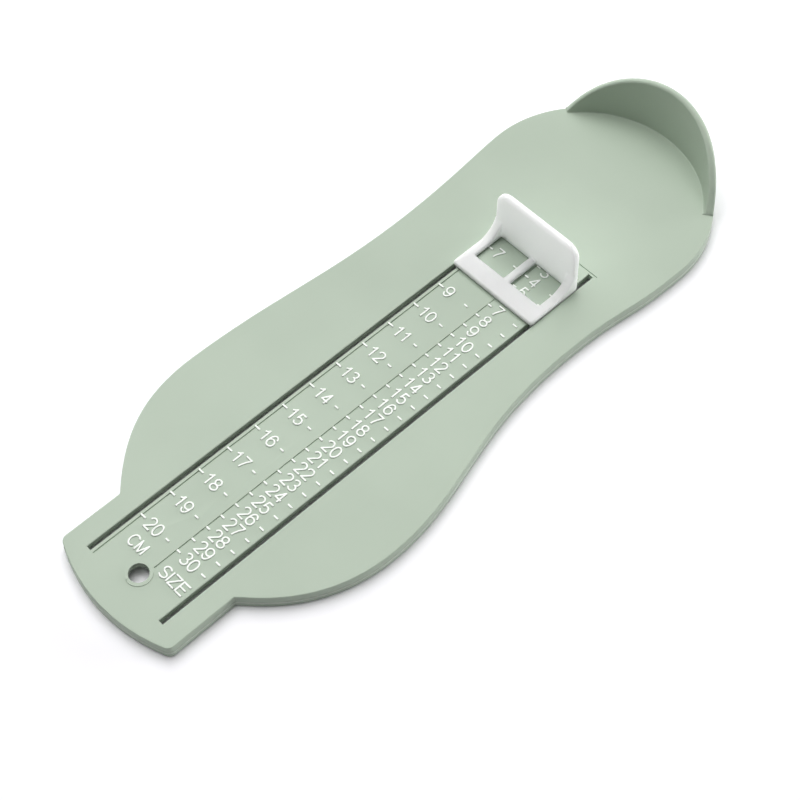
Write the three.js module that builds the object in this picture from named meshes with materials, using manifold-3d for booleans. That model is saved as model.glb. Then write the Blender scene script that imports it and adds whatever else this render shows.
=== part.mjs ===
// Foot measuring device: a moulded foot plate with a heel wall, a ruler with raised marks between
// two long slots, a hanging hole at the toe, and a slider with two windows that is pushed up to the
// longest toe. Millimetres, +Z up. It is built in ruler coordinates: X is the distance from the
// heel zero towards the toe, Y = 0 is the middle of the ruler, Z = 0 is the table. The last lines
// centre it over its footprint.

import * as THREE from "three";
import { mergeVertices } from "three/addons/utils/BufferGeometryUtils.js";
import Module from "manifold-3d";

const wasm = await Module();
wasm.setup();

// Plate: a hollow shell, open underneath, whose edge is a little wider below the mould's parting line
const PLATE = {
  height: 4.6,
  skin: 1.8,
  skirt: 1.8,
  edgeRound: 0.25,
  footRound: 0.35,
  ledgeHeight: 2,
  ledgeWidth: 0.15,
  ledgeChamfer: 0.12,
};

// Foot outline: a round heel, a waist, a ball and the root of the tab, joined by smooth curves.
// Out and In are the handles of a curve, as shares of the length that it spans along X, and
// rootIn is the handle with which the last curve turns in to the root.
const HEEL = { x: 35.6, y: -5.2, radius: 36.9 };
const HEEL_SEGMENTS = 120;
const WAIST_SEGMENTS = 14;
const BALL_SEGMENTS = 22;
const SIZE_EDGE = {
  heelOut: 0.517,
  waistIn: 0.539,
  waist: new THREE.Vector2(82, 28.7),
  waistOut: 0.487,
  ballIn: 0.351,
  ball: new THREE.Vector2(159, 41.35),
  ballOut: 0.663,
  rootIn: new THREE.Vector2(-1.91, 1.08),
  tabLength: 26.3,
};
const CM_EDGE = {
  heelOut: 0.169,
  waistIn: 0.476,
  waist: new THREE.Vector2(86, -38.75),
  waistOut: 0.389,
  ballIn: 0.403,
  ball: new THREE.Vector2(158, -43.15),
  ballOut: 0.494,
  rootIn: new THREE.Vector2(-10.3, -11.7),
  tabLength: 24.5,
};
const TAB = { halfWidth: 22.4, tipX: 224.6, tipRadius: 54, corner: 2.2 };

// Heel wall: a drafted shell whose rim is one arc when the wall is rolled out flat. Its inside
// and the outer edge of its rim stand a little towards the centimetre side, so that it is
// thinner there.
const WALL = {
  height: 18.7,
  tipHeight: 0.15,
  halfAngle: THREE.MathUtils.degToRad(54.5),
  thickness: 2.55,
  outerLean: 0.05,
  innerLean: 0.4,
  innerShift: -0.5,
  rimShift: -0.2,
  rimRound: 0.95,
  rimSegments: 5,
  baseFillet: 0.4,
};

// Two slots for the slider's rails, with the ruler on the tongue of plate between them. The edge
// on the centimetre side of each slot is rounded over.
const SLOT = { startX: 56.4, tipMargin: 8.2, innerY: 14.15, width: 1.6, edgeRound: 0.35 };

// Hanging hole with a low raised ring round it
const HOLE = { tipMargin: 13.05, radius: 2.86, ringWidth: 1.02 };

// Raised marks for centimetres and shoe sizes, and the ring of the hanging hole
const RELIEF = { markHeight: 0.24, markWidth: 0.6, ringHeight: 0.2 };

// Fine engraved lines: one along each side of the centimetre scale, and one across their heel end
const GROOVE = { width: 0.4, depth: 0.35, cmY: -13.05, midY: 1.55, beforeSlot: 0.5, beyondSlot: 0.9 };
const MARKED = { afterStart: 3.6, beforeEnd: 16.4 };
const CM = { zeroX: 0, step: 10 };
const SIZE = { zeroX: 50, step: 5 };

// Where each row of marks starts and ends across the ruler
const MARK_ROWS = [
  { scale: CM, from: -13.6, to: -11.6 },
  { scale: CM, from: -3.1, to: -1.8 },
  { scale: SIZE, from: GROOVE.midY, to: 2.95 },
  { scale: SIZE, from: 11.45, to: 13 },
];

// Slider: a frame with two windows, and an upright stop plate with a gusset at each end
const SLIDER = {
  heelX: 63,
  length: 19.3,
  halfWidth: 15.8,
  frameThickness: 1.7,
  frontBar: 6.3,
  sideBar: 3,
  midBar: 2.5,
  planCorner: 1,
  edgeRound: 0.45,
  uprightThickness: 2.1,
  uprightHeight: 18.9,
  uprightCorner: 4.4,
  uprightDraft: 0.3,
  topRound: 1.4,
  gusset: 5.4,
  gussetSag: 0.22,
};

// Two snap rails under the frame, hooked inwards below the tongue
const RAIL = { inset: 0.8, thickness: 1, catch: 0.7, hookHeight: 1.1, hookTip: 0.4 };

// Running clearances between the slider and the plate
const GAP = { side: 0.3, above: 0.3, below: 0.3 };

const plateTop = PLATE.height;
const skinBottom = plateTop - PLATE.skin;
const slotOuterY = SLOT.innerY + SLOT.width;
const slotEndX = TAB.tipX - SLOT.tipMargin;
const holeX = TAB.tipX - HOLE.tipMargin;
const frameBottom = plateTop + GAP.above;
const frameTop = frameBottom + SLIDER.frameThickness;
const uprightFaceX = SLIDER.heelX + SLIDER.uprightThickness;
const uprightTop = plateTop + SLIDER.uprightHeight;
const sliderToeX = SLIDER.heelX + SLIDER.length;

// Points of a circular arc, from one angle to another, both in radians
function arcPoints(x, y, radius, from, to, count) {
  const arc = new THREE.EllipseCurve(x, y, radius, radius, from, to, to < from);
  return arc.getPoints(count);
}

// Points of a curve that leaves one point and reaches another along given handles
function curvePoints(start, leave, reach, end, count) {
  const curve = new THREE.CubicBezierCurve(start, start.clone().add(leave), end.clone().add(reach), end);
  return curve.getPoints(count);
}

// A closed three.js geometry as a solid that can be joined and cut
function solid(geometry) {
  const bare = geometry.clone();
  bare.deleteAttribute("normal");
  bare.deleteAttribute("uv");
  const welded = mergeVertices(bare, 1e-5);
  return new wasm.Manifold(
    new wasm.Mesh({
      numProp: 3,
      vertProperties: new Float32Array(welded.attributes.position.array),
      triVerts: new Uint32Array(welded.index.array),
    }),
  );
}

// A solid as a named mesh
function meshOf(name, body, material) {
  const { vertProperties, triVerts } = body.getMesh();
  const geometry = new THREE.BufferGeometry();
  geometry.setAttribute("position", new THREE.BufferAttribute(new Float32Array(vertProperties), 3));
  geometry.setIndex(new THREE.BufferAttribute(new Uint32Array(triVerts), 1));
  geometry.computeVertexNormals();
  const mesh = new THREE.Mesh(geometry, material);
  mesh.name = name;
  return mesh;
}

// A shape extruded from one level to another, with its end edges rounded if a radius is given
function extruded(shape, from, to, round = 0, segments = 2) {
  const geometry = new THREE.ExtrudeGeometry(shape, {
    depth: to - from - 2 * round,
    bevelEnabled: round > 0,
    bevelThickness: round,
    bevelSize: round,
    bevelOffset: -round,
    bevelSegments: segments,
  });
  return geometry.translate(0, 0, from + round);
}

// A plan shape as a slab between two heights
function slab(shape, bottom, top, round, segments) {
  return solid(extruded(shape, bottom, top, round, segments));
}

// A shape drawn in Y and Z, extruded along X
function alongX(shape, from, to, round) {
  const axes = new THREE.Matrix4().makeBasis(
    new THREE.Vector3(0, 1, 0),
    new THREE.Vector3(0, 0, 1),
    new THREE.Vector3(1, 0, 0),
  );
  return solid(extruded(shape, from, to, round).applyMatrix4(axes));
}

// A shape drawn in X and Z, extruded along Y
function alongY(shape, from, to, round) {
  const axes = new THREE.Matrix4().makeBasis(
    new THREE.Vector3(1, 0, 0),
    new THREE.Vector3(0, 0, 1),
    new THREE.Vector3(0, -1, 0),
  );
  return solid(extruded(shape, -to, -from, round).applyMatrix4(axes));
}

// A block given by its lowest and highest corner
function block(x0, y0, z0, x1, y1, z1) {
  const geometry = new THREE.BoxGeometry(x1 - x0, y1 - y0, z1 - z0);
  return solid(geometry.translate((x0 + x1) / 2, (y0 + y1) / 2, (z0 + z1) / 2));
}

// The half of the foot outline on one side, from the back of the heel to the tip of the tab
function halfOutline(edge, side) {
  const heelSide = new THREE.Vector2(HEEL.x, HEEL.y + side * HEEL.radius);
  const heelTurn = Math.PI * (1 - side / 2);
  const root = new THREE.Vector2(TAB.tipX - edge.tabLength, side * TAB.halfWidth);
  const handle = (from, to, share) => new THREE.Vector2((to.x - from.x) * share, 0);

  // The rounded corner where the tab's side meets its bulging end
  const tipCentreX = TAB.tipX - TAB.tipRadius;
  const cornerY = TAB.halfWidth - TAB.corner;
  const reach = TAB.tipRadius - TAB.corner;
  const cornerX = tipCentreX + Math.sqrt(reach ** 2 - cornerY ** 2);
  const turn = Math.asin(cornerY / reach);

  return [
    ...arcPoints(HEEL.x, HEEL.y, HEEL.radius, Math.PI, heelTurn, HEEL_SEGMENTS / 4),
    ...curvePoints(
      heelSide,
      handle(heelSide, edge.waist, edge.heelOut),
      handle(edge.waist, heelSide, edge.waistIn),
      edge.waist,
      WAIST_SEGMENTS,
    ),
    ...curvePoints(
      edge.waist,
      handle(edge.waist, edge.ball, edge.waistOut),
      handle(edge.ball, edge.waist, edge.ballIn),
      edge.ball,
      BALL_SEGMENTS,
    ),
    ...curvePoints(edge.ball, handle(edge.ball, root, edge.ballOut), edge.rootIn, root, BALL_SEGMENTS),
    ...arcPoints(cornerX, side * cornerY, TAB.corner, side * Math.PI / 2, side * turn, 4),
    ...arcPoints(tipCentreX, 0, TAB.tipRadius, side * turn, 0, 6),
  ];
}

// The whole outline, anticlockwise from the heel, without doubled points
function footOutline() {
  const cmHalf = halfOutline(CM_EDGE, -1);
  const sizeHalf = halfOutline(SIZE_EDGE, 1).reverse();
  const loop = [...cmHalf, ...sizeHalf];
  return loop.filter((point, i) => point.distanceTo(loop[(i + 1) % loop.length]) > 1e-3);
}

// A closed anticlockwise outline moved outwards by a distance, or inwards if it is negative
function offsetShape(outline, distance) {
  const count = outline.length;
  const moved = outline.map((point, i) => {
    const before = outline[(i + count - 1) % count];
    const after = outline[(i + 1) % count];
    const incoming = point.clone().sub(before).normalize();
    const outgoing = after.clone().sub(point).normalize();
    const normal = new THREE.Vector2(incoming.y + outgoing.y, -incoming.x - outgoing.x).normalize();
    const miter = distance / (normal.x * outgoing.y - normal.y * outgoing.x);
    return point.clone().addScaledVector(normal, miter);
  });
  return new THREE.Shape(moved);
}

// Height of the wall's rim above the plate at an angle from the back of the heel
function rimHeight(angle) {
  const halfArc = HEEL.radius * WALL.halfAngle;
  const drop = WALL.height - WALL.tipHeight;
  const arcRadius = (halfArc ** 2 + drop ** 2) / (2 * drop);
  const along = HEEL.radius * Math.min(Math.abs(angle), WALL.halfAngle);
  return WALL.height - arcRadius + Math.sqrt(arcRadius ** 2 - along ** 2);
}

// The heel wall: its section is turned full circle, its rim is lowered to the arc, and the
// sector between the two tips is kept
function heelWall() {
  const outer = HEEL.radius + 0.02;
  const inner = HEEL.radius - WALL.thickness;
  const rimOuter = outer - WALL.outerLean;
  const rimInner = inner + WALL.innerLean;
  const foot = -PLATE.skin * 0.6;
  const round = WALL.rimRound;
  const fillet = WALL.baseFillet;

  // Section in radius and height above the plate
  const section = [
    new THREE.Vector2(outer, foot),
    new THREE.Vector2(outer, 0),
    ...arcPoints(rimOuter - round, WALL.height - round, round, 0, Math.PI / 2, WALL.rimSegments),
    ...arcPoints(rimInner + round, WALL.height - round, round, Math.PI / 2, Math.PI, WALL.rimSegments),
    ...arcPoints(inner - fillet, fillet, fillet, 0, -Math.PI / 2, 3),
    new THREE.Vector2(inner - fillet, foot),
    new THREE.Vector2(outer, foot),
  ];
  const ring = new THREE.LatheGeometry(section, HEEL_SEGMENTS).rotateX(Math.PI / 2);
  const position = ring.attributes.position;
  for (let i = 0; i < position.count; i += 1) {
    const x = position.getX(i);
    const y = position.getY(i);
    const height = position.getZ(i);
    const rim = rimHeight(Math.atan2(y, -x));
    const squeeze = Math.min(1, rim / (2 * round + 2 * fillet));
    if (height > WALL.height / 2) {
      position.setZ(i, rim - (WALL.height - height) * squeeze);
    } else if (height > 0) {
      position.setZ(i, height * squeeze);
    }
    const outward = THREE.MathUtils.clamp((Math.hypot(x, y) - inner) / (outer - inner), 0, 1);
    const rise = THREE.MathUtils.clamp(position.getZ(i) / WALL.height, 0, 1);
    position.setY(i, y + THREE.MathUtils.lerp(WALL.innerShift, WALL.rimShift * rise, outward));
  }
  ring.translate(HEEL.x, HEEL.y, plateTop);

  const far = 2 * HEEL.radius;
  const tipY = far * Math.tan(WALL.halfAngle);
  const sector = new THREE.Shape([
    new THREE.Vector2(HEEL.x, HEEL.y),
    new THREE.Vector2(HEEL.x - far, HEEL.y + tipY),
    new THREE.Vector2(HEEL.x - far, HEEL.y - tipY),
  ]);
  return solid(ring).intersect(slab(sector, 0, plateTop + 2 * WALL.height));
}

// The shell of the plate: a wider lower half, rounded where it stands and chamfered at its ledge,
// with the upper half on it, hollowed from below
function plateShell(outline) {
  const wide = offsetShape(outline, PLATE.ledgeWidth);
  const rounded = slab(wide, 0, 2 * plateTop, PLATE.footRound);
  const chamfered = slab(wide, -plateTop, PLATE.ledgeHeight, PLATE.ledgeChamfer, 1);
  const upper = slab(offsetShape(outline, 0), PLATE.ledgeHeight / 2, plateTop, PLATE.edgeRound);
  const hollow = slab(offsetShape(outline, -PLATE.skirt), -1, skinBottom);
  return rounded.intersect(chamfered).add(upper).subtract(hollow);
}

// Where the marks of a scale stand along the ruler
function markPlaces({ zeroX, step }) {
  const first = Math.ceil((SLOT.startX + MARKED.afterStart - zeroX) / step - 1e-6);
  const last = Math.floor((slotEndX - MARKED.beforeEnd - zeroX) / step + 1e-6);
  return Array.from({ length: last - first + 1 }, (_, i) => zeroX + (first + i) * step);
}

// Every mark on the ruler, and the ring of the hanging hole
function rulerRelief() {
  const rootZ = plateTop - PLATE.skin / 2;
  const ringRadius = HOLE.radius + HOLE.ringWidth;
  const ring = new THREE.CylinderGeometry(ringRadius, ringRadius, PLATE.skin, 40).rotateX(Math.PI / 2);
  ring.translate(holeX, 0, plateTop + RELIEF.ringHeight - PLATE.skin / 2);

  const halfMark = RELIEF.markWidth / 2;
  const marks = MARK_ROWS.flatMap(({ scale, from, to }) =>
    markPlaces(scale).map((x) =>
      block(x - halfMark, from, rootZ, x + halfMark, to, plateTop + RELIEF.markHeight),
    ),
  );
  return wasm.Manifold.union([solid(ring), ...marks]);
}

// The engraved lines, as what they cut away
function rulerGrooves() {
  const half = GROOVE.width / 2;
  const startX = SLOT.startX - GROOVE.beforeSlot - GROOVE.width;
  const reachY = slotOuterY + GROOVE.beyondSlot;
  const bottom = plateTop - GROOVE.depth;
  const top = 2 * plateTop;
  const ringEdgeX = holeX - HOLE.radius - HOLE.ringWidth;
  return wasm.Manifold.union([
    block(startX, GROOVE.cmY - half, bottom, slotEndX, GROOVE.cmY + half, top),
    block(startX, GROOVE.midY - half, bottom, ringEdgeX, GROOVE.midY + half, top),
    block(startX, -reachY, bottom, startX + GROOVE.width, reachY, top),
  ]);
}

// What one slot cuts away, from its edge on the centimetre side, which is rounded over at the top
function slotCut(cmSideY) {
  const round = SLOT.edgeRound;
  const top = 2 * plateTop;
  const section = new THREE.Shape([
    new THREE.Vector2(cmSideY, -1),
    new THREE.Vector2(cmSideY + SLOT.width, -1),
    new THREE.Vector2(cmSideY + SLOT.width, top),
    new THREE.Vector2(cmSideY - round, top),
    ...arcPoints(cmSideY - round, plateTop - round, round, Math.PI / 2, 0, 4),
  ]);
  return alongX(section, SLOT.startX, slotEndX);
}

// The foot plate: shell, heel wall and ruler, with both slots and the hanging hole cut through
function footPlate() {
  const outline = footOutline();
  const hole = new THREE.CylinderGeometry(HOLE.radius, HOLE.radius, 4 * PLATE.height, 40);
  hole.rotateX(Math.PI / 2).translate(holeX, 0, plateTop);
  return plateShell(outline)
    .add(heelWall())
    .subtract(rulerGrooves())
    .add(rulerRelief())
    .subtract(slotCut(SLOT.innerY))
    .subtract(slotCut(-slotOuterY))
    .subtract(solid(hole));
}

// A rectangle in plan with small rounded corners
function roundedRectangle(x0, y0, x1, y1, radius) {
  const corners = [
    arcPoints(x1 - radius, y1 - radius, radius, 0, Math.PI / 2, 3),
    arcPoints(x0 + radius, y1 - radius, radius, Math.PI / 2, Math.PI, 3),
    arcPoints(x0 + radius, y0 + radius, radius, Math.PI, 1.5 * Math.PI, 3),
    arcPoints(x1 - radius, y0 + radius, radius, 1.5 * Math.PI, 2 * Math.PI, 3),
  ];
  return corners.flat();
}

// The slider's frame, with a window on each side of the middle bar
function sliderFrame() {
  const frame = new THREE.Shape(
    roundedRectangle(SLIDER.heelX, -SLIDER.halfWidth, sliderToeX, SLIDER.halfWidth, SLIDER.planCorner),
  );
  const nearY = SLIDER.midBar / 2;
  const farY = SLIDER.halfWidth - SLIDER.sideBar;
  const windowToeX = sliderToeX - SLIDER.frontBar;
  for (const side of [-1, 1]) {
    const y0 = Math.min(side * nearY, side * farY);
    const y1 = Math.max(side * nearY, side * farY);
    frame.holes.push(
      new THREE.Path([
        new THREE.Vector2(uprightFaceX - SLIDER.edgeRound, y0),
        new THREE.Vector2(uprightFaceX - SLIDER.edgeRound, y1),
        new THREE.Vector2(windowToeX, y1),
        new THREE.Vector2(windowToeX, y0),
      ]),
    );
  }
  return slab(frame, frameBottom, frameTop, SLIDER.edgeRound);
}

// The upright stop plate, with rounded upper corners and a softer edge on its toe side
function sliderUpright() {
  const baseY = SLIDER.halfWidth;
  const topY = SLIDER.halfWidth - SLIDER.uprightDraft;
  const corner = SLIDER.uprightCorner;
  const face = new THREE.Shape([
    new THREE.Vector2(-baseY, frameBottom),
    new THREE.Vector2(baseY, frameBottom),
    ...arcPoints(topY - corner, uprightTop - corner, corner, 0, Math.PI / 2, 8),
    ...arcPoints(corner - topY, uprightTop - corner, corner, Math.PI / 2, Math.PI, 8),
  ]);
  const round = SLIDER.topRound;
  const shaved = new THREE.Shape([
    new THREE.Vector2(uprightFaceX + 1, uprightTop + 1),
    new THREE.Vector2(uprightFaceX - round, uprightTop + 1),
    ...arcPoints(uprightFaceX - round, uprightTop - round, round, Math.PI / 2, 0, 5),
    new THREE.Vector2(uprightFaceX + 1, uprightTop - round),
  ]);
  return alongX(face, SLIDER.heelX, uprightFaceX, SLIDER.edgeRound).subtract(
    alongY(shaved, -2 * SLIDER.halfWidth, 2 * SLIDER.halfWidth),
  );
}

// The hollow-cheeked gusset that runs from a side bar up the upright
function sliderGusset(side) {
  const size = SLIDER.gusset;
  const sag = size * SLIDER.gussetSag;
  const behindX = uprightFaceX - SLIDER.uprightThickness / 2;
  const hollow = new THREE.QuadraticBezierCurve(
    new THREE.Vector2(uprightFaceX + size, frameTop),
    new THREE.Vector2(uprightFaceX + sag, frameTop + sag),
    new THREE.Vector2(uprightFaceX, frameTop + size),
  );
  const cheek = new THREE.Shape([
    new THREE.Vector2(behindX, frameTop - SLIDER.frameThickness / 2),
    new THREE.Vector2(uprightFaceX + size, frameTop - SLIDER.frameThickness / 2),
    ...hollow.getPoints(8),
    new THREE.Vector2(behindX, frameTop + size),
  ]);
  const outerY = side * SLIDER.halfWidth;
  const innerY = side * (SLIDER.halfWidth - SLIDER.sideBar);
  return alongY(cheek, Math.min(outerY, innerY), Math.max(outerY, innerY), SLIDER.edgeRound / 2);
}

// One snap rail, which passes through a slot and hooks inwards under the tongue
function sliderRail(side) {
  const innerY = SLOT.innerY + GAP.side;
  const tipY = SLOT.innerY - RAIL.catch;
  const outerY = innerY + RAIL.thickness;
  const hookTop = skinBottom - GAP.below;
  const hookBottom = hookTop - RAIL.hookHeight;
  const profile = [
    new THREE.Vector2(innerY, frameBottom + SLIDER.frameThickness / 2),
    new THREE.Vector2(innerY, hookTop),
    new THREE.Vector2(tipY, hookTop),
    new THREE.Vector2(tipY, hookTop - RAIL.hookTip),
    new THREE.Vector2(innerY, hookBottom),
    new THREE.Vector2(outerY, hookBottom),
    new THREE.Vector2(outerY, frameBottom + SLIDER.frameThickness / 2),
  ];
  const mirrored = profile.map((point) => new THREE.Vector2(side * point.x, point.y));
  return alongX(new THREE.Shape(mirrored), SLIDER.heelX + RAIL.inset, sliderToeX - RAIL.inset);
}

// The slider: frame, upright, two gussets and two rails in one moulding
function slider() {
  return wasm.Manifold.union([
    sliderFrame(),
    sliderUpright(),
    ...[-1, 1].flatMap((side) => [sliderGusset(side), sliderRail(side)]),
  ]);
}

const sagePlastic = new THREE.MeshStandardMaterial({ color: "#b9c7b5", roughness: 0.55, metalness: 0 });
const whitePlastic = new THREE.MeshStandardMaterial({ color: "#eceef0", roughness: 0.45, metalness: 0 });

const group = new THREE.Group();
group.add(meshOf("foot_plate", footPlate(), sagePlastic));
group.add(meshOf("slider", slider(), whitePlastic));

// The footprint's middle goes over the origin
const heelEndX = HEEL.x - HEEL.radius - PLATE.ledgeWidth;
const toeEndX = TAB.tipX + PLATE.ledgeWidth;
const middleY = (SIZE_EDGE.ball.y + CM_EDGE.ball.y) / 2;
group.position.set(-(heelEndX + toeEndX) / 2, -middleY, 0);

export default group;
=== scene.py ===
import math

import bmesh
import bpy
from mathutils import Matrix, Quaternion, Vector


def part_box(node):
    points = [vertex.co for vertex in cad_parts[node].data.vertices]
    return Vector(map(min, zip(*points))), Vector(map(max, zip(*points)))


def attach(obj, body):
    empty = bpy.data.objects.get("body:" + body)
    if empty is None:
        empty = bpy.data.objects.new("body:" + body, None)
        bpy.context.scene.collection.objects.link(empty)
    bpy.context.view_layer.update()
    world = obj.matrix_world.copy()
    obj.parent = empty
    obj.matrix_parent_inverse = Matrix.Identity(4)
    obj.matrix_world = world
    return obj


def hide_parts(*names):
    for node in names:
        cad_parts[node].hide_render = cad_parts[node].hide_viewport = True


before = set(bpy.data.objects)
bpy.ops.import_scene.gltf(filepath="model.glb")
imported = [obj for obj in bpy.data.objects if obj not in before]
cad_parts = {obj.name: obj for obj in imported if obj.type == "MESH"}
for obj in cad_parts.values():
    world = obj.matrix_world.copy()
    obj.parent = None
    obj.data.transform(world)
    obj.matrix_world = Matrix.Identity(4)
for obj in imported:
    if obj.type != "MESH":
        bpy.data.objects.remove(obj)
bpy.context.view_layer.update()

# Foot measuring device: a sage green foot-shaped plate with a heel wall and a raised ruler, and a
# white slider with two windows. Lengths are in millimetres times MM, so that they read as real
# sizes. X runs from the heel to the hanging hole, Y to the shoe size side, Z up.
MM = 0.001
PLATE_LOW = Vector(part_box("foot_plate")[0])
SLIDER_LOW, SLIDER_HIGH = (Vector(corner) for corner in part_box("slider"))

# The refractive index of polypropylene, and that of the foil's lacquer
POLYPROPYLENE_IOR = 1.49
LACQUER_IOR = 1.5

# The grain of the moulds. The real grain is about 0.1 mm; it is drawn coarser, or it would not
# show. Gloss changes over the middle of the noise's range.
GRAIN = {"size": 0.5 * MM, "depth": 0.05 * MM, "low": 0.3, "high": 0.7}

# A painted highlight: a lighter line at the parting line of the mould, round the edge of the plate,
# and how much of its colour shows
PAINTED_PARTING_HIGHLIGHT = {
    "height": 1.8 * MM,
    "half_width": 0.35 * MM,
    "colour": "#e6e8e4",
    "contrast": 0.5,
}

# The skins of the mouldings: points nearer than the gap are one, and edges flatter than the angle
# go. Edges sharper than SHARP_EDGE stay sharp on the plate, and the slider is softened all over.
WELD = {"gap": 0.001 * MM, "flat": math.radians(0.3)}
SHARP_EDGE = math.radians(40)
SOFT_SKIN = {"voxel": 0.22 * MM, "factor": 0.5, "rounds": 8}

# The ruler on the plate's top: its zero lies just inside the heel, its middle under the slider
PLATE_TOP = 4.6 * MM
HEEL_TO_ZERO = 1.45 * MM
RULER_ZERO_X = PLATE_LOW.x + HEEL_TO_ZERO
RULER_Y = (SLIDER_LOW.y + SLIDER_HIGH.y) / 2
CM = {"zero": 0.0, "step": 10 * MM, "first": 6, "last": 20}
SIZE = {"zero": 50 * MM, "step": 5 * MM, "first": 2, "last": 30}

# Where each row of white marks starts and ends across the ruler
MARK_ROWS = [
    (CM, -13.5 * MM, -11.55 * MM),
    (CM, -3.12 * MM, -1.78 * MM),
    (SIZE, 1.62 * MM, 2.97 * MM),
    (SIZE, 11.43 * MM, 13.02 * MM),
]
MARK = {"width": 0.5 * MM, "height": 0.28 * MM, "bevel": 0.05 * MM, "sunk": 0.05 * MM}

# The figures: single strokes in raised letters, their feet towards the hanging hole. Each stands
# in the plate's own plastic, with a white cap on it.
STROKE_BODY = {"width": 0.74 * MM, "relief": 0.23 * MM}
STROKE_CAP = {"width": 0.62 * MM, "relief": 0.28 * MM}
FIGURE = {
    "height": 3.65 * MM,
    "width": 2.2 * MM,
    "gap": 0.62 * MM,
    "cm_y": -10.35 * MM,
    "size_y": 4.35 * MM,
}
LABEL = {
    "x": 206.35 * MM,
    "height": 3.4 * MM,
    "width": 2.5 * MM,
    "gap": 0.65 * MM,
    "cm_y": -9.7 * MM,
    "size_y": 3.4 * MM,
}

# A bend of a stroke that is sharper than this is eased over its reach, and a stroke whose ends
# are nearer than the gap is a closed one. Under 1, the power makes a stroke's flanks steep.
STROKE_BEND = {"sharp": math.radians(25), "reach": 0.1 * MM, "steps": 4}
CLOSED_GAP = 0.01 * MM
FLANK_POWER = 0.4

# The photograph's camera
CAMERA = {
    "place": Vector((192.03, 205.45, 404.76)) * MM,
    "target": Vector((14.18, 8.93, 4.6)) * MM,
    "roll": math.radians(-1.54),
    "lens": 78.3,
    "sensor": 36.0,
    "shift_y": 0.0007,
    "nearest": 10 * MM,
}

# The soft boxes, at one distance from the object. Sizes and distance are in metres, power is in
# watts, and the angles are in degrees, from +X towards +Y and up from the table.
LAMP_DISTANCE = 1.6
LARGE_BOX = (1.6, 1.6)
MIDDLE_BOX = (1.0, 1.0)
STRIP_BOX = (1.0, 0.38)
LAMPS = {
    "overhead": {"azimuth": 0, "elevation": 90, "size": LARGE_BOX, "power": 7.0},
    "high_cm_side": {"azimuth": 240, "elevation": 64, "size": LARGE_BOX, "power": 25.0},
    "high_toe": {"azimuth": 315, "elevation": 60, "size": MIDDLE_BOX, "power": 2.6},
    "low_size_side": {"azimuth": 150, "elevation": 7, "size": STRIP_BOX, "power": 16.5},
    "low_cm_side": {"azimuth": 240, "elevation": 7, "size": STRIP_BOX, "power": 7.1},
    "low_toe": {"azimuth": 300, "elevation": 7, "size": STRIP_BOX, "power": 2.3},
}
WHITE = (1.0, 1.0, 1.0, 1.0)

# The table, in metres. Light falls on its paper. What the camera sees is the seen colour, and it
# is lifted more and more from near to far.
TABLE = {
    "half_width": 1.2,
    "paper": "#f4f3f6",
    "seen": (1.035, 1.025, 1.056),
    "near": 0.2,
    "far": 1.7,
    "lift": 6.0,
}


def linear(hex_colour):
    """An sRGB hex colour as linear red, green, blue and alpha."""
    channels = [int(hex_colour[i:i + 2], 16) / 255 for i in (1, 3, 5)]
    return [c / 12.92 if c <= 0.04045 else ((c + 0.055) / 1.055) ** 2.4 for c in channels] + [1.0]


def add_node(tree, kind, values=None, links=None, **settings):
    """Adds a node, sets its properties and input values, and links sockets into its inputs."""
    node = tree.nodes.new(kind)
    for key, value in settings.items():
        setattr(node, key, value)
    for key, value in (values or {}).items():
        node.inputs[key].default_value = value
    for key, socket in (links or {}).items():
        tree.links.new(socket, node.inputs[key])
    return node


def new_material(name):
    """An empty node material, its tree and its output."""
    material = bpy.data.materials.new(name)
    material.use_nodes = True
    tree = material.node_tree
    tree.nodes.clear()
    return material, tree, tree.nodes.new("ShaderNodeOutputMaterial")


def clouds(tree, place, size, tones, spread):
    """Two close tones of one colour, in soft clouds of a given size."""
    noise = add_node(
        tree,
        "ShaderNodeTexNoise",
        {"Scale": 1 / size, "Detail": 2.0, "Roughness": 0.5},
        {"Vector": place},
    )
    ramp = add_node(tree, "ShaderNodeValToRGB", links={"Fac": noise.outputs["Fac"]})
    for element, position, tone in zip(ramp.color_ramp.elements, spread, tones):
        element.position = position
        element.color = linear(tone)
    return ramp.outputs["Color"]


def mould_grain(tree, place, detail, harshness, roughness, strength):
    """The grain that a mould leaves on plastic, as links for the roughness and the normal."""
    noise = add_node(
        tree,
        "ShaderNodeTexNoise",
        {"Scale": 1 / GRAIN["size"], "Detail": detail, "Roughness": harshness},
        {"Vector": place},
    )
    spread = add_node(
        tree,
        "ShaderNodeMapRange",
        {
            "From Min": GRAIN["low"],
            "From Max": GRAIN["high"],
            "To Min": roughness[0],
            "To Max": roughness[1],
        },
        {"Value": noise.outputs["Fac"]},
    )
    bump = add_node(
        tree,
        "ShaderNodeBump",
        {"Strength": strength, "Distance": GRAIN["depth"]},
        {"Height": noise.outputs["Fac"]},
    )
    return {"Roughness": spread.outputs["Result"], "Normal": bump.outputs["Normal"]}


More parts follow.
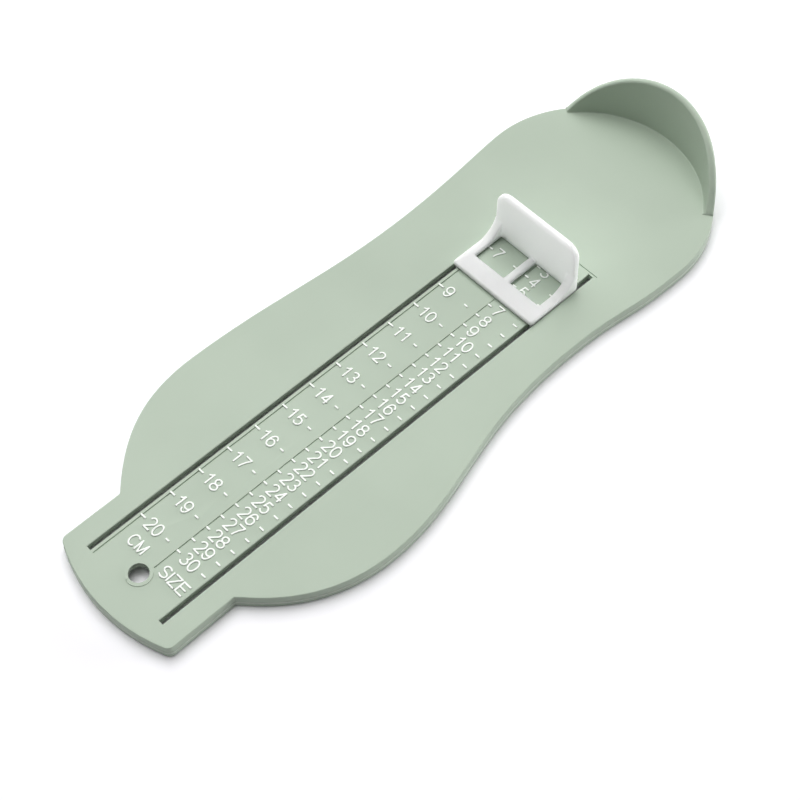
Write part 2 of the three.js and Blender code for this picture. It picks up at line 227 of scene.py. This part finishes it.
def with_parting_line(tree, place, colour):
    """A colour with a painted highlight, a lighter line along where the two halves of the mould met.
    """
    level = add_node(tree, "ShaderNodeSeparateXYZ", links={0: place})
    above = add_node(
        tree,
        "ShaderNodeMath",
        {1: PAINTED_PARTING_HIGHLIGHT["height"]},
        {0: level.outputs["Z"]},
        operation="SUBTRACT",
    )
    away = add_node(
        tree, "ShaderNodeMath", links={0: above.outputs["Value"]}, operation="ABSOLUTE"
    )
    # How strong the painted highlight is: full at the parting height, none at half_width from it
    highlight_strength = add_node(
        tree,
        "ShaderNodeMapRange",
        {
            "From Min": 0.0,
            "From Max": PAINTED_PARTING_HIGHLIGHT["half_width"],
            "To Min": PAINTED_PARTING_HIGHLIGHT["contrast"],
            "To Max": 0.0,
        },
        {"Value": away.outputs["Value"]},
    )
    # The painted highlight mixes its light colour into the plastic's own colour
    highlighted_colour = add_node(
        tree,
        "ShaderNodeMix",
        {7: linear(PAINTED_PARTING_HIGHLIGHT["colour"])},
        {0: highlight_strength.outputs["Result"], 6: colour},
        data_type="RGBA",
    )
    return highlighted_colour.outputs[2]


def moulded_sage_polypropylene():
    """Polypropylene from a fine spark-eroded mould: matt, with faint clouds of colour where the
    melt flowed, and a painted highlight, a lighter line along where the two halves of the mould met."""
    material, tree, output = new_material("moulded_sage_polypropylene")
    place = add_node(tree, "ShaderNodeTexCoord").outputs["Object"]
    colour = clouds(
        tree, place, size=30 * MM, tones=("#a8b6a5", "#acbaa9"), spread=(0.35, 0.65)
    )
    grain = mould_grain(
        tree, place, detail=3.0, harshness=0.6, roughness=(0.5, 0.6), strength=0.12
    )
    surface = add_node(
        tree,
        "ShaderNodeBsdfPrincipled",
        {"IOR": POLYPROPYLENE_IOR},
        {"Base Color": with_parting_line(tree, place, colour), **grain},
    )
    tree.links.new(surface.outputs["BSDF"], output.inputs["Surface"])
    return material


def moulded_white_polypropylene():
    """White polypropylene from a smoother mould: a soft sheen, and light that goes deep under its
    skin and comes out again."""
    material, tree, output = new_material("moulded_white_polypropylene")
    place = add_node(tree, "ShaderNodeTexCoord").outputs["Object"]
    colour = clouds(
        tree, place, size=9 * MM, tones=("#f8fbfe", "#fafdff"), spread=(0.35, 0.65)
    )
    grain = mould_grain(
        tree, place, detail=2.0, harshness=0.5, roughness=(0.36, 0.44), strength=0.06
    )
    surface = add_node(
        tree,
        "ShaderNodeBsdfPrincipled",
        {
            "IOR": POLYPROPYLENE_IOR,
            "Subsurface Weight": 1.0,
            "Subsurface Radius": (1.0, 1.0, 1.0),
            "Subsurface Scale": 7.0 * MM,
        },
        {"Base Color": colour, **grain},
    )
    tree.links.new(surface.outputs["BSDF"], output.inputs["Surface"])
    return material


def white_stamping_foil():
    """White foil stamped hot on the raised figures and marks: flat white, slightly uneven."""
    material, tree, output = new_material("white_stamping_foil")
    place = add_node(tree, "ShaderNodeTexCoord").outputs["Object"]
    colour = clouds(
        tree, place, size=0.8 * MM, tones=("#eef2ec", "#f7f9f6"), spread=(0.3, 0.6)
    )
    surface = add_node(
        tree,
        "ShaderNodeBsdfPrincipled",
        {"Roughness": 0.45, "IOR": LACQUER_IOR},
        {"Base Color": colour},
    )
    tree.links.new(surface.outputs["BSDF"], output.inputs["Surface"])
    return material


def finish_piece(bm, name, material, body):
    """Makes an object of a bmesh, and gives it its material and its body."""
    mesh = bpy.data.meshes.new(name)
    bm.to_mesh(mesh)
    bm.free()
    mesh.materials.append(material)
    piece = bpy.data.objects.new(name, mesh)
    bpy.context.scene.collection.objects.link(piece)
    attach(piece, body)
    return piece


def welded(node):
    """A CAD node's own form as one welded skin with no needless edges."""
    bm = bmesh.new()
    bm.from_mesh(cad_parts[node].data)
    bmesh.ops.remove_doubles(bm, verts=bm.verts, dist=WELD["gap"])
    bmesh.ops.dissolve_limit(bm, angle_limit=WELD["flat"], verts=bm.verts, edges=bm.edges)
    return bm


def plate_moulding(material):
    """The foot plate, smooth over its round edges and flat between them."""
    piece = finish_piece(welded("foot_plate"), "plate_moulding", material, "plate")
    piece.data.shade_smooth()
    piece.data.set_sharp_from_angle(angle=SHARP_EDGE)
    weigh = piece.modifiers.new("flat faces stay flat", "WEIGHTED_NORMAL")
    weigh.keep_sharp = True
    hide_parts("foot_plate")


def slider_moulding(material):
    """The slider with the soft edges and the filled inner corners of a thick white moulding."""
    rough = welded("slider")
    mesh = bpy.data.meshes.new("slider_rough")
    rough.to_mesh(mesh)
    rough.free()
    form = bpy.data.objects.new("slider_rough", mesh)
    bpy.context.scene.collection.objects.link(form)
    skin = form.modifiers.new("even skin", "REMESH")
    skin.mode = "VOXEL"
    skin.voxel_size = SOFT_SKIN["voxel"]
    soft = form.modifiers.new("soft edges", "SMOOTH")
    soft.factor = SOFT_SKIN["factor"]
    soft.iterations = SOFT_SKIN["rounds"]
    bm = bmesh.new()
    bm.from_object(form, bpy.context.evaluated_depsgraph_get())
    bpy.data.objects.remove(form)
    piece = finish_piece(bm, "slider_moulding", material, "slider")
    piece.data.shade_smooth()
    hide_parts("slider")


def scale_marks(material):
    """A white cap on every raised mark of the ruler."""
    bm = bmesh.new()
    middle_z = PLATE_TOP + (MARK["height"] - MARK["sunk"]) / 2
    for scale, start, end in MARK_ROWS:
        for value in range(scale["first"], scale["last"] + 1):
            x = RULER_ZERO_X + scale["zero"] + value * scale["step"]
            centre = Vector((x, RULER_Y + (start + end) / 2, middle_z))
            size = Vector((MARK["width"], end - start, MARK["height"] + MARK["sunk"]))
            place = Matrix.LocRotScale(centre, None, size)
            cap = bmesh.ops.create_cube(bm, size=1, matrix=place)
            edges = {edge for vert in cap["verts"] for edge in vert.link_edges}
            bmesh.ops.bevel(
                bm,
                geom=list(edges),
                offset=MARK["bevel"],
                offset_type="OFFSET",
                affect="EDGES",
                segments=2,
                profile=0.5,
                material=-1,
                clamp_overlap=True,
            )
    piece = finish_piece(bm, "scale_marks", material, "plate")
    piece.data.shade_smooth()


def arc(centre_u, centre_v, radius_u, radius_v, start, end, count=14):
    """Points of an elliptic arc in a figure's box, from one angle to another in degrees."""
    angles = [math.radians(start + (end - start) * i / count) for i in range(count + 1)]
    return [(centre_u + radius_u * math.cos(a), centre_v + radius_v * math.sin(a)) for a in angles]


def figure_strokes():
    """The centre lines of every figure, in a box one wide and one high."""
    six = [arc(0.54, 0.42, 0.52, 0.58, 180, 33), arc(0.5, 0.32, 0.5, 0.32, 0, 360, 20)]
    return {
        "0": [arc(0.5, 0.5, 0.5, 0.5, 0, 360, 24)],
        "1": [[(0.12, 0.73), (0.42, 0.83), (0.62, 1.0), (0.62, 0.0)]],
        "2": [arc(0.49, 0.71, 0.46, 0.29, 168, -32, 12) + [(0.03, 0.0), (1.0, 0.0)]],
        "3": [arc(0.47, 0.75, 0.41, 0.25, 158, -90, 12), arc(0.47, 0.26, 0.5, 0.26, 90, -158, 14)],
        "4": [[(0.73, 0.0), (0.73, 1.0), (0.0, 0.27), (1.0, 0.27)]],
        "5": [[(0.9, 1.0), (0.22, 1.0), (0.1, 0.48)] + arc(0.47, 0.32, 0.5, 0.32, 128, -155, 14)],
        "6": six,
        "7": [[(0.0, 1.0), (1.0, 1.0), (0.62, 0.56), (0.42, 0.25), (0.34, 0.0)]],
        "8": [arc(0.5, 0.76, 0.42, 0.24, 0, 360, 18), arc(0.5, 0.26, 0.5, 0.26, 0, 360, 20)],
        "9": [[(1 - u, 1 - v) for u, v in stroke] for stroke in six],
        "C": [arc(0.5, 0.5, 0.5, 0.5, 42, 318, 18)],
        "M": [[(0.0, 0.0), (0.0, 1.0), (0.5, 0.0), (1.0, 1.0), (1.0, 0.0)]],
        "S": [arc(0.5, 0.745, 0.44, 0.255, 28, 270, 12), arc(0.5, 0.25, 0.48, 0.25, 90, -155, 12)],
        "I": [[(0.0, 0.0), (0.0, 1.0)]],
        "Z": [[(0.0, 1.0), (1.0, 1.0), (0.0, 0.0), (1.0, 0.0)]],
        "E": [[(1.0, 1.0), (0.0, 1.0), (0.0, 0.0), (1.0, 0.0)], [(0.0, 0.52), (0.9, 0.52)]],
    }


def eased(points):
    """Turns the sharp corners of a stroke through a few close points, as the stroke would be
    pinched thin between two sharp corners."""
    steps = STROKE_BEND["steps"]
    shares = [i / steps for i in range(steps + 1)]
    path = [points[0]]
    for before, corner, after in zip(points, points[1:], points[2:]):
        into, out = (corner - before).normalized(), (after - corner).normalized()
        if into.angle(out) < STROKE_BEND["sharp"]:
            path.append(corner)
            continue
        start, end = corner - STROKE_BEND["reach"] * into, corner + STROKE_BEND["reach"] * out
        path += [start.lerp(corner, t).lerp(corner.lerp(end, t), t) for t in shares]
    return path + [points[-1]]


def write_word(curve, strokes, word, x, y, form):
    """Adds a word's strokes to a curve. It reads along +Y, with its tops towards the heel."""
    for letter in word:
        for stroke in strokes[letter]:
            points = [
                Vector((x + (0.5 - v) * form["height"], y + u * form["width"])) for u, v in stroke
            ]
            closed = (points[0] - points[-1]).length < CLOSED_GAP
            points = points[:-1] if closed else eased(points)
            spline = curve.splines.new("POLY")
            spline.points.add(len(points) - 1)
            spline.use_cyclic_u = closed
            for point, place in zip(spline.points, points):
                point.co = (place.x, place.y, PLATE_TOP, 1.0)
        y += (0.0 if letter == "I" else form["width"]) + form["gap"]


def scale_figures(name, stroke, material):
    """The ruler's numbers, and the name of each scale beside the hanging hole, in raised strokes."""
    strokes = figure_strokes()
    curve = bpy.data.curves.new(name, "CURVE")
    curve.dimensions = "3D"
    curve.bevel_depth = stroke["width"] / 2
    curve.bevel_resolution = 2
    curve.use_fill_caps = True
    for scale, start in ((CM, FIGURE["cm_y"]), (SIZE, FIGURE["size_y"])):
        for value in range(scale["first"], scale["last"] + 1):
            x = RULER_ZERO_X + scale["zero"] + value * scale["step"]
            write_word(curve, strokes, str(value), x, RULER_Y + start, FIGURE)
    for word, start in (("CM", LABEL["cm_y"]), ("SIZE", LABEL["size_y"])):
        write_word(curve, strokes, word, RULER_ZERO_X + LABEL["x"], RULER_Y + start, LABEL)

    drawn = bpy.data.objects.new(name, curve)
    bm = bmesh.new()
    bm.from_mesh(drawn.to_mesh())
    drawn.to_mesh_clear()
    bpy.data.objects.remove(drawn)

    # The round strokes are pressed to their relief: flat on top, with steep flanks
    for vert in bm.verts:
        rise = (vert.co.z - PLATE_TOP) / (stroke["width"] / 2)
        pressed = math.copysign(abs(rise) ** FLANK_POWER, rise)
        vert.co.z = PLATE_TOP + pressed * stroke["relief"]
    piece = finish_piece(bm, name, material, "plate")
    piece.data.shade_smooth()


def background_rays(tree):
    """One for the rays that see the background: the camera's own, and those in gloss and glass."""
    ray = add_node(tree, "ShaderNodeLightPath")
    mirrored = add_node(
        tree,
        "ShaderNodeMath",
        links={0: ray.outputs["Is Glossy Ray"], 1: ray.outputs["Is Transmission Ray"]},
        operation="MAXIMUM",
    )
    seen = add_node(
        tree,
        "ShaderNodeMath",
        links={0: ray.outputs["Is Camera Ray"], 1: mirrored.outputs["Value"]},
        operation="MAXIMUM",
    )
    return seen.outputs["Value"]


def floor():
    """A white table. To the camera it gets lighter away from the object, where less of the lamps'
    light falls, so that it comes out white all over, and it keeps the object's shadow."""
    bm = bmesh.new()
    bmesh.ops.create_grid(bm, x_segments=1, y_segments=1, size=TABLE["half_width"])
    mesh = bpy.data.meshes.new("table")
    bm.to_mesh(mesh)
    bm.free()
    table = bpy.data.objects.new("table", mesh)
    bpy.context.scene.collection.objects.link(table)

    material, tree, output = new_material("white_table")
    place = add_node(tree, "ShaderNodeTexCoord").outputs["Object"]
    away = add_node(tree, "ShaderNodeVectorMath", links={0: place}, operation="LENGTH")
    lift = add_node(
        tree,
        "ShaderNodeMapRange",
        {
            "From Min": TABLE["near"],
            "From Max": TABLE["far"],
            "To Min": 1.0,
            "To Max": TABLE["lift"],
        },
        {"Value": away.outputs["Value"]},
    )
    seen = add_node(
        tree,
        "ShaderNodeVectorMath",
        {0: TABLE["seen"]},
        {"Scale": lift.outputs["Result"]},
        operation="SCALE",
    )
    colour = add_node(
        tree,
        "ShaderNodeMix",
        {6: linear(TABLE["paper"])},
        {0: background_rays(tree), 7: seen.outputs["Vector"]},
        data_type="RGBA",
    )
    paper = add_node(tree, "ShaderNodeBsdfDiffuse", links={"Color": colour.outputs[2]})
    tree.links.new(paper.outputs["BSDF"], output.inputs["Surface"])
    mesh.materials.append(material)


def lamp(name, azimuth, elevation, size, power):
    """A soft box that is turned to the object."""
    light = bpy.data.lights.new(name, "AREA")
    light.shape = "RECTANGLE"
    light.size, light.size_y = size
    light.energy = power
    around = math.radians(azimuth)
    up = math.radians(elevation)
    level = math.cos(up)
    towards = Vector((level * math.cos(around), level * math.sin(around), math.sin(up)))
    box = bpy.data.objects.new(name, light)
    box.location = LAMP_DISTANCE * towards
    box.rotation_euler = (-box.location).to_track_quat("-Z", "Y").to_euler()
    bpy.context.scene.collection.objects.link(box)


def studio():
    """Two large soft boxes above, one of them on the centimetre side, a smaller one towards the
    toe, low ones at the heel, and a white world behind everything."""
    for name, settings in LAMPS.items():
        lamp(name, **settings)

    world = bpy.data.worlds.new("studio")
    world.use_nodes = True
    bpy.context.scene.world = world
    tree = world.node_tree
    tree.nodes.clear()
    output = tree.nodes.new("ShaderNodeOutputWorld")
    dark = add_node(tree, "ShaderNodeBackground", {"Color": WHITE, "Strength": 0.0})
    white = add_node(tree, "ShaderNodeBackground", {"Color": WHITE, "Strength": 1.0})
    seen = add_node(
        tree,
        "ShaderNodeMixShader",
        links={
            0: background_rays(tree),
            1: dark.outputs["Background"],
            2: white.outputs["Background"],
        },
    )
    tree.links.new(seen.outputs["Shader"], output.inputs["Surface"])
    bpy.context.scene.view_settings.view_transform = "Standard"


def camera():
    """The photograph's camera, from its place, its target and its roll."""
    lens = bpy.data.cameras.new("photo_camera")
    lens.lens = CAMERA["lens"]
    lens.sensor_width = CAMERA["sensor"]
    lens.shift_y = CAMERA["shift_y"]
    lens.clip_start = CAMERA["nearest"]
    view = bpy.data.objects.new("photo_camera", lens)
    aim = (CAMERA["target"] - CAMERA["place"]).to_track_quat("-Z", "Y")
    view.rotation_mode = "QUATERNION"
    view.rotation_quaternion = aim @ Quaternion((0.0, 0.0, 1.0), CAMERA["roll"])
    view.location = CAMERA["place"]
    bpy.context.scene.collection.objects.link(view)
    bpy.context.scene.camera = view


camera()
studio()
floor()

sage = moulded_sage_polypropylene()
white = moulded_white_polypropylene()
foil = white_stamping_foil()
plate_moulding(sage)
slider_moulding(white)
scale_marks(foil)
scale_figures("figure_bodies", STROKE_BODY, sage)
scale_figures("figure_caps", STROKE_CAP, foil)
